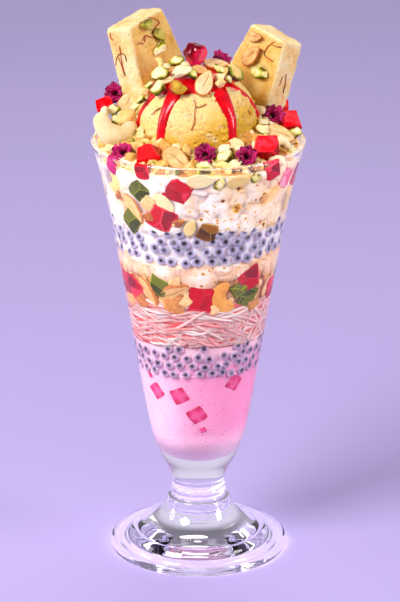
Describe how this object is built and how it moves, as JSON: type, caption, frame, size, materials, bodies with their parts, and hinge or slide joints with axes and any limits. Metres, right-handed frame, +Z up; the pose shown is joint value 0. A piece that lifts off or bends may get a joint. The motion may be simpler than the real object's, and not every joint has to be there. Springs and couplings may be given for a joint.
{
  "type": "kulfi falooda",
  "caption": "Layered Indian dessert in a tall footed glass: rose milk, basil seeds, noodles, jelly, nuts and cream under a kulfi ball with kulfi slabs, nuts, rosebuds and a cherry",
  "frame": {"origin": "on the floor at the centre of the glass's foot, which is the bottom centre of the bounding box", "axes": "+Z up along the glass's axis, -Y the front as in the picture, +X to the viewer's right; both slabs stand behind the kulfi ball, towards +Y"},
  "size_m": [0.095, 0.095, 0.2469],
  "materials": {
    "glass": "clear pressed soda-lime glass, polished",
    "rose_milk": "pink rose milk, glossy where it meets the glass",
    "basil_seed": "soaked basil seeds: black cores in a grey-lilac jelly halo",
    "noodle": "cooked pink falooda noodles, wet",
    "fruit_bed": "nuts and jelly set in golden syrup and cream",
    "cream": "soft white cream, lumpy, satin",
    "nut_heap": "chopped golden nuts, dry and matt",
    "mango_kulfi": "pale saffron-yellow kulfi ball, pitted and frosty",
    "malai_kulfi": "cream-coloured kulfi slab, slightly porous",
    "pistachio": "green pistachio kernel with a purple-brown skin",
    "almond": "blanched almond half with a brown rim",
    "rosebud": "dried rosebud, papery",
    "red_jelly": "firm clear red jelly",
    "cashew": "roasted cashew, satin",
    "glace_cherry": "syrup-glazed cherry"
  },
  "bodies": {
    "root": {"glass": "glass", "rose_milk": "rose_milk", "basil_seeds_lower": "basil_seed", "falooda_noodles": "noodle", "jelly_nut_bed": "fruit_bed", "cream_lower": "cream", "basil_seeds_upper": "basil_seed", "cream_upper": "cream", "nut_heap": "nut_heap", "kulfi_scoop": "mango_kulfi", "kulfi_slab_left": "malai_kulfi", "pistachio_slab_left_top": "pistachio", "pistachio_slab_left_mid": "pistachio", "pistachio_slab_left_low": "pistachio", "kulfi_slab_right": "malai_kulfi", "almond_slab_right_top": "almond", "almond_slab_right": "almond", "pistachio_slab_right": "pistachio", "rosebud_left_back": "rosebud", "jelly_left_rim": "red_jelly", "almond_left": "almond", "pistachio_left_high": "pistachio", "pistachio_left_low": "pistachio", "cashew_left_back": "cashew", "cashew_left": "cashew", "pistachio_left_inner": "pistachio", "rosebud_front_left": "rosebud", "jelly_front_left": "red_jelly", "almond_front": "almond", "rosebud_front": "rosebud", "pistachio_front_rim": "pistachio", "pistachio_front_right": "pistachio", "pistachio_right_rim": "pistachio", "rosebud_front_right": "rosebud", "jelly_front_right": "red_jelly", "cashew_right_bit": "cashew", "cashew_right_rim": "cashew", "cashew_right_far": "cashew", "almond_right": "almond", "pistachio_right_far": "pistachio", "cashew_right_inner": "cashew", "pistachio_right_inner": "pistachio", "jelly_right_rim": "red_jelly", "rosebud_right": "rosebud", "jelly_right_back": "red_jelly", "cashew_back_right": "cashew", "almond_back": "almond", "jelly_back": "red_jelly", "rosebud_back": "rosebud", "glace_cherry": "glace_cherry", "pistachio_crown_pale": "pistachio", "pistachio_crown_high": "pistachio", "pistachio_crown_left": "pistachio", "pistachio_crown_low": "pistachio", "pistachio_crown_dark": "pistachio", "almond_crown": "almond", "almond_crown_back": "almond", "pistachio_crown_right": "pistachio", "rosebud_crown": "rosebud"}
  },
  "joints": []
}
